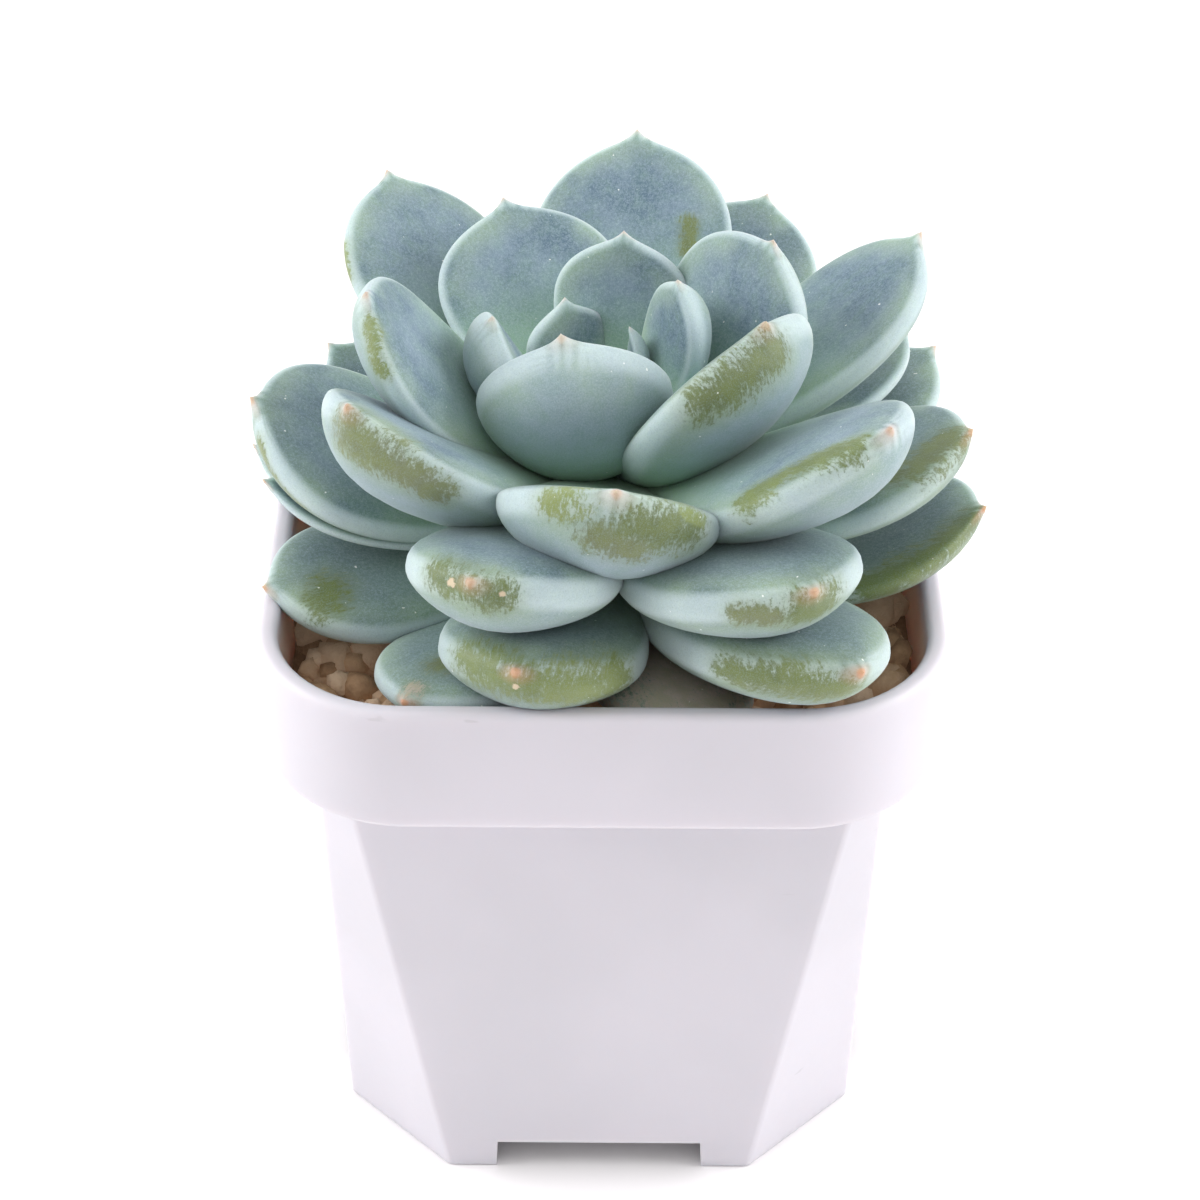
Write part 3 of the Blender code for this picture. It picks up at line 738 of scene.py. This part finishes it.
# Where the bloom is worn, by leaf. A place on a leaf is how far along it is, from 0 at the foot to 1 at
# the end, and how far round: 0 at the right edge, 90 up the middle of the upper face, 180 at the left
# edge, 270 at the keel. A patch lies round the line between two such places; then come its half width in
# millimetres and its tone, from yellow green at 0 over olive and brown at 1 to an old leaf's pink at 2.
WORN = {
    10: [(0.98, 260, 0.88, 205, 2.6, 0.6)],
    11: [(0.98, 350, 0.9, 345, 1, 0.2)],
    12: [(0.95, 190, 0.9, 350, 2, 0.1), (0.97, 300, 0.9, 335, 2.8, 0.6), (0.95, 265, 0.92, 285, 2.2, 0.8)],
    13: [(0.72, 125, 0.62, 125, 1, 0.6)],
    15: [(0.98, 280, 0.93, 325, 2.6, 0.8), (0.93, 325, 0.8, 335, 2, 0.9)],
    16: [(0.72, 155, 0.84, 135, 1.7, 0.3), (0.84, 135, 0.97, 130, 1.8, 0.4)],
    17: [(0.85, 350, 0.75, 350, 0.8, 0.2)],
    19: [(0.97, 170, 0.98, 330, 1.9, 0.5)],
    20: [(0.97, 330, 0.8, 330, 1, 0.3)],
    22: [(0.97, 110, 0.9, 120, 2.5, 0.8), (0.85, 125, 0.75, 125, 1.5, 0.8)],
    24: [(0.98, 250, 0.98, 300, 2.4, 0.4), (0.93, 200, 0.97, 230, 1.4, 0.9)],
    30: [(0.95, 170, 0.99, 300, 2.6, 0.3), (0.97, 330, 0.85, 0, 3, 0.2)],
    31: [(0.88, 60, 0.84, 70, 2.4, 0.4)],
    32: [(0.75, 170, 0.9, 155, 3, 0.4), (0.9, 155, 0.98, 130, 2.4, 0.6)],
    35: [(0.8, 180, 0.92, 190, 2.2, 0.4), (0.92, 190, 0.98, 250, 2.4, 0.3)],
    39: [(0.85, 90, 0.8, 90, 1.6, 0.8), (0.97, 90, 0.98, 270, 1.2, 1.7)],
    40: [(0.5, 90, 0.9, 90, 9, 2)],
}

# Small dry scars, by leaf: a place as above, then the scar's radius in millimetres
SCARS = {
    19: [(0.99, 190, 0.6), (0.98, 340, 0.4)],
    30: [(0.99, 270, 0.5)],
}


def leaf_marks(number, rings, along, side, face, half, length):
    """Values for the leaf's material at each point: its place on the leaf in millimetres, how far along it
    is, how far from the outline and on which face, and how worn the bloom is.

    A patch's field is 1 on its line and falls to 0 at the patch's half width and on below that.
    """
    at = rings / MM
    place = at + np.array([LEAF_MARK_STEP * number, 0, 0])
    line = np.linspace(0, 1, 120)
    line_x = line * length / MM
    line_y = half.max() / MM * leaf_half_width(line)
    off_x = (along * length / MM)[..., None] - line_x
    off_y = abs(side * half / MM)[..., None] - line_y
    gap = np.hypot(off_x, off_y).min(axis=-1)
    skin = np.stack([along, gap, face], axis=-1)
    rub, tone, scar = np.full_like(along, -2.0), np.full_like(along, 0.3), np.full_like(along, -1.0)

    def spot(share, turn):
        row = abs(along[:, 0] - share).argmin()
        return at[row, round(turn / 360 * at.shape[1]) % at.shape[1]]

    for share_0, turn_0, share_1, turn_1, reach, patch_tone in WORN.get(number, ()):
        start = spot(share_0, turn_0)
        way = spot(share_1, turn_1) - start
        share = np.clip((at - start) @ way / (way @ way), 0, 1)
        field = 1 - np.linalg.norm(at - start - share[..., None] * way, axis=-1) / reach
        tone = np.where(field > rub, patch_tone, tone)
        rub = np.maximum(rub, field)
    for share, turn, reach in SCARS.get(number, ()):
        scar = np.maximum(scar, 1 - np.linalg.norm(at - spot(share, turn), axis=-1) / reach)
    return {"place": place, "skin": skin, "wear": np.stack([rub, tone, scar], axis=-1)}


def leaf_skin():
    """The leaf's skin and its bloom: dark blue-green above, paler below, green towards the foot and lightened
    there as painted fill light, a painted highlight along the very edge with yellow green inside it, orange
    at the point, and green skin where it is worn."""
    finish, tree, shader = new_finish("leaf_skin", 0.5, Specular_IOR_Level=0.3, Sheen_Weight=0.12,
                                      Sheen_Roughness=0.4, Subsurface_Weight=0.5)
    shader.inputs["Subsurface Radius"].default_value = (0.8, 0.95, 0.75)
    shader.inputs["Subsurface Scale"].default_value = 3.5 * MM

    def mark(name):
        vector = add(tree, "ShaderNodeAttribute", attribute_name=name).outputs["Vector"]
        return vector, add(tree, "ShaderNodeSeparateXYZ", {0: vector}).outputs

    place, (x, _, _) = mark("place")
    along, gap, face = mark("skin")[1]
    rub, tone, scar = mark("wear")[1]
    slow = cloudy(tree, place, 0.13, 2)
    blotches = cloudy(tree, place, 0.55, 3, 0.55)
    fine = cloudy(tree, place, 2.6, 4, 0.65)
    powder = cloudy(tree, place, 7.0, 2, 0.6)
    age = maths(tree, "MULTIPLY", x, 1 / (LEAF_MARK_STEP * len(LEAVES)))
    streaks = cloudy(tree, stretched(tree, place, STREAK_STRETCH), 1.0, 4, 0.7, 0.6)

    def times(share, amount):
        return maths(tree, "MULTIPLY", share, amount)

    bloom = blended(tree, rising(tree, face, -0.35, 0.15), LEAF_PALE, LEAF_DEEP)
    bloom = blended(tree, times(rising(tree, slow, 0.35, 0.65), 0.3), bloom, LEAF_MILKY)
    bloom = blended(tree, times(rising(tree, blotches, 0.35, 0.75), 0.35), bloom, LEAF_GREEN)
    # the foot: its real green, lightened as painted fill light where the leaves shade one another
    bloom = blended(tree, times(rising(tree, along, 0.8, 0.15), 0.9), bloom, LEAF_FOOT_GREEN_AND_FILL)
    bloom = blended(tree, times(rising(tree, age, 0.3, 0.75), 0.55), bloom, LEAF_AGED)
    inside = maths(tree, "MULTIPLY", rising(tree, gap, 4.6, 0.4), rising(tree, slow, 0.25, 0.7))
    bloom = blended(tree, times(inside, 0.5), bloom, LEAF_YELLOW)
    # painted highlight: a pale line along the outline stands in for the sheen of light at the leaf's rim
    bloom = blended(tree, times(rising(tree, gap, 1.0, 0.1), 0.6), bloom, LEAF_EDGE_SHEEN_AND_POWDER)
    bloom = blended(tree, times(rising(tree, fine, 0.35, 0.7), 0.3), bloom, LEAF_MILKY)
    # pale powder specks of the bloom, in the same pale colour
    bloom = blended(tree, times(rising(tree, powder, 0.45, 0.75), 0.22), bloom, LEAF_EDGE_SHEEN_AND_POWDER)
    bloom = blended(tree, times(rising(tree, powder, 0.5, 0.25), 0.25), bloom, LEAF_AGED)

    worn = blended(tree, rising(tree, tone, 0.0, 0.5), WORN_YELLOW, WORN_GREEN)
    worn = blended(tree, rising(tree, tone, 0.5, 1.0), worn, WORN_BROWN)
    worn = blended(tree, rising(tree, tone, 1.0, 2.0), worn, WORN_PINK)
    worn = blended(tree, times(rising(tree, blotches, 0.35, 0.65), 0.3), worn, WORN_YELLOW)
    worn = blended(tree, times(rising(tree, powder, 0.42, 0.75), 0.45), worn, LEAF_PALE)
    torn = rub
    for grain, depth in ((streaks, 2.6), (fine, 1.8), (powder, 1.4), (blotches, 1.4)):
        torn = maths(tree, "ADD", torn, times(maths(tree, "SUBTRACT", grain, 0.5), depth))
    bare = rising(tree, torn, -0.25, 0.6)
    colour = blended(tree, times(bare, 0.92), bloom, worn)
    greener = times(rising(tree, rub, -1.2, 0.4), 0.25)
    colour = blended(tree, greener, colour, WORN_YELLOW)

    ripe = add(tree, "ShaderNodeMapRange", {0: age, 3: 0.35, 4: 1.0}).outputs[0]
    point = maths(tree, "MULTIPLY", rising(tree, along, 0.988, 1.012), ripe)
    colour = blended(tree, times(point, 0.85), colour, TIP_ORANGE)
    ragged = times(maths(tree, "SUBTRACT", fine, 0.5), 1.6)
    scarred = rising(tree, maths(tree, "ADD", scar, ragged), -0.1, 0.3)
    colour = blended(tree, scarred, colour, SCAR_BEIGE)
    specks = rising(tree, cloudy(tree, place, 1.4, 1), 0.785, 0.81)
    colour = blended(tree, times(specks, 0.8), colour, SPECK_WHITE)
    tree.links.new(colour, shader.inputs["Base Color"])
    gloss = add(tree, "ShaderNodeMapRange", {0: bare, 3: 0.56, 4: 0.36}).outputs[0]
    tree.links.new(maths(tree, "ADD", gloss, times(fine, 0.1)), shader.inputs["Roughness"])
    height = maths(tree, "ADD", times(fine, 0.5), times(bare, -0.6))
    roughen(tree, shader, maths(tree, "ADD", height, times(scarred, 1.5)), 0.06 * MM)
    return finish


def grow_leaves():
    """Every leaf, seated one after another down the stem."""
    finish = leaf_skin()
    for number, row in enumerate(LEAVES, start=1):
        turn, lean, roll, length, width, thickness, *own = row
        own = own[0] if own else {}
        rings, *where = leaf_grid(length * MM, width * MM, thickness * MM, **own)
        seat = TOP_LEAF_SEAT - LEAF_STEP * (number - 1)
        over = max(0.0, (seat - STEM_SHOULDER) / (STEM_HIGH - STEM_SHOULDER))
        reach = STEM_RADIUS * math.sqrt(max(0.0, 1 - over * over)) + LEAF_SEAT
        heading = math.radians(turn)
        pose = Euler((math.radians(roll), -math.radians(lean), heading - math.pi / 2)).to_matrix()
        foot = np.array([reach * math.sin(heading), -reach * math.cos(heading), seat])
        placed = rings @ np.array(pose).T + foot
        name = "leaf_%02d" % number
        leaf = ring_skin(name + "_skin", placed, finish, leaf_marks(number, rings, *where, length * MM))
        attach(leaf, "root")
        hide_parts(name)


grow_leaves()
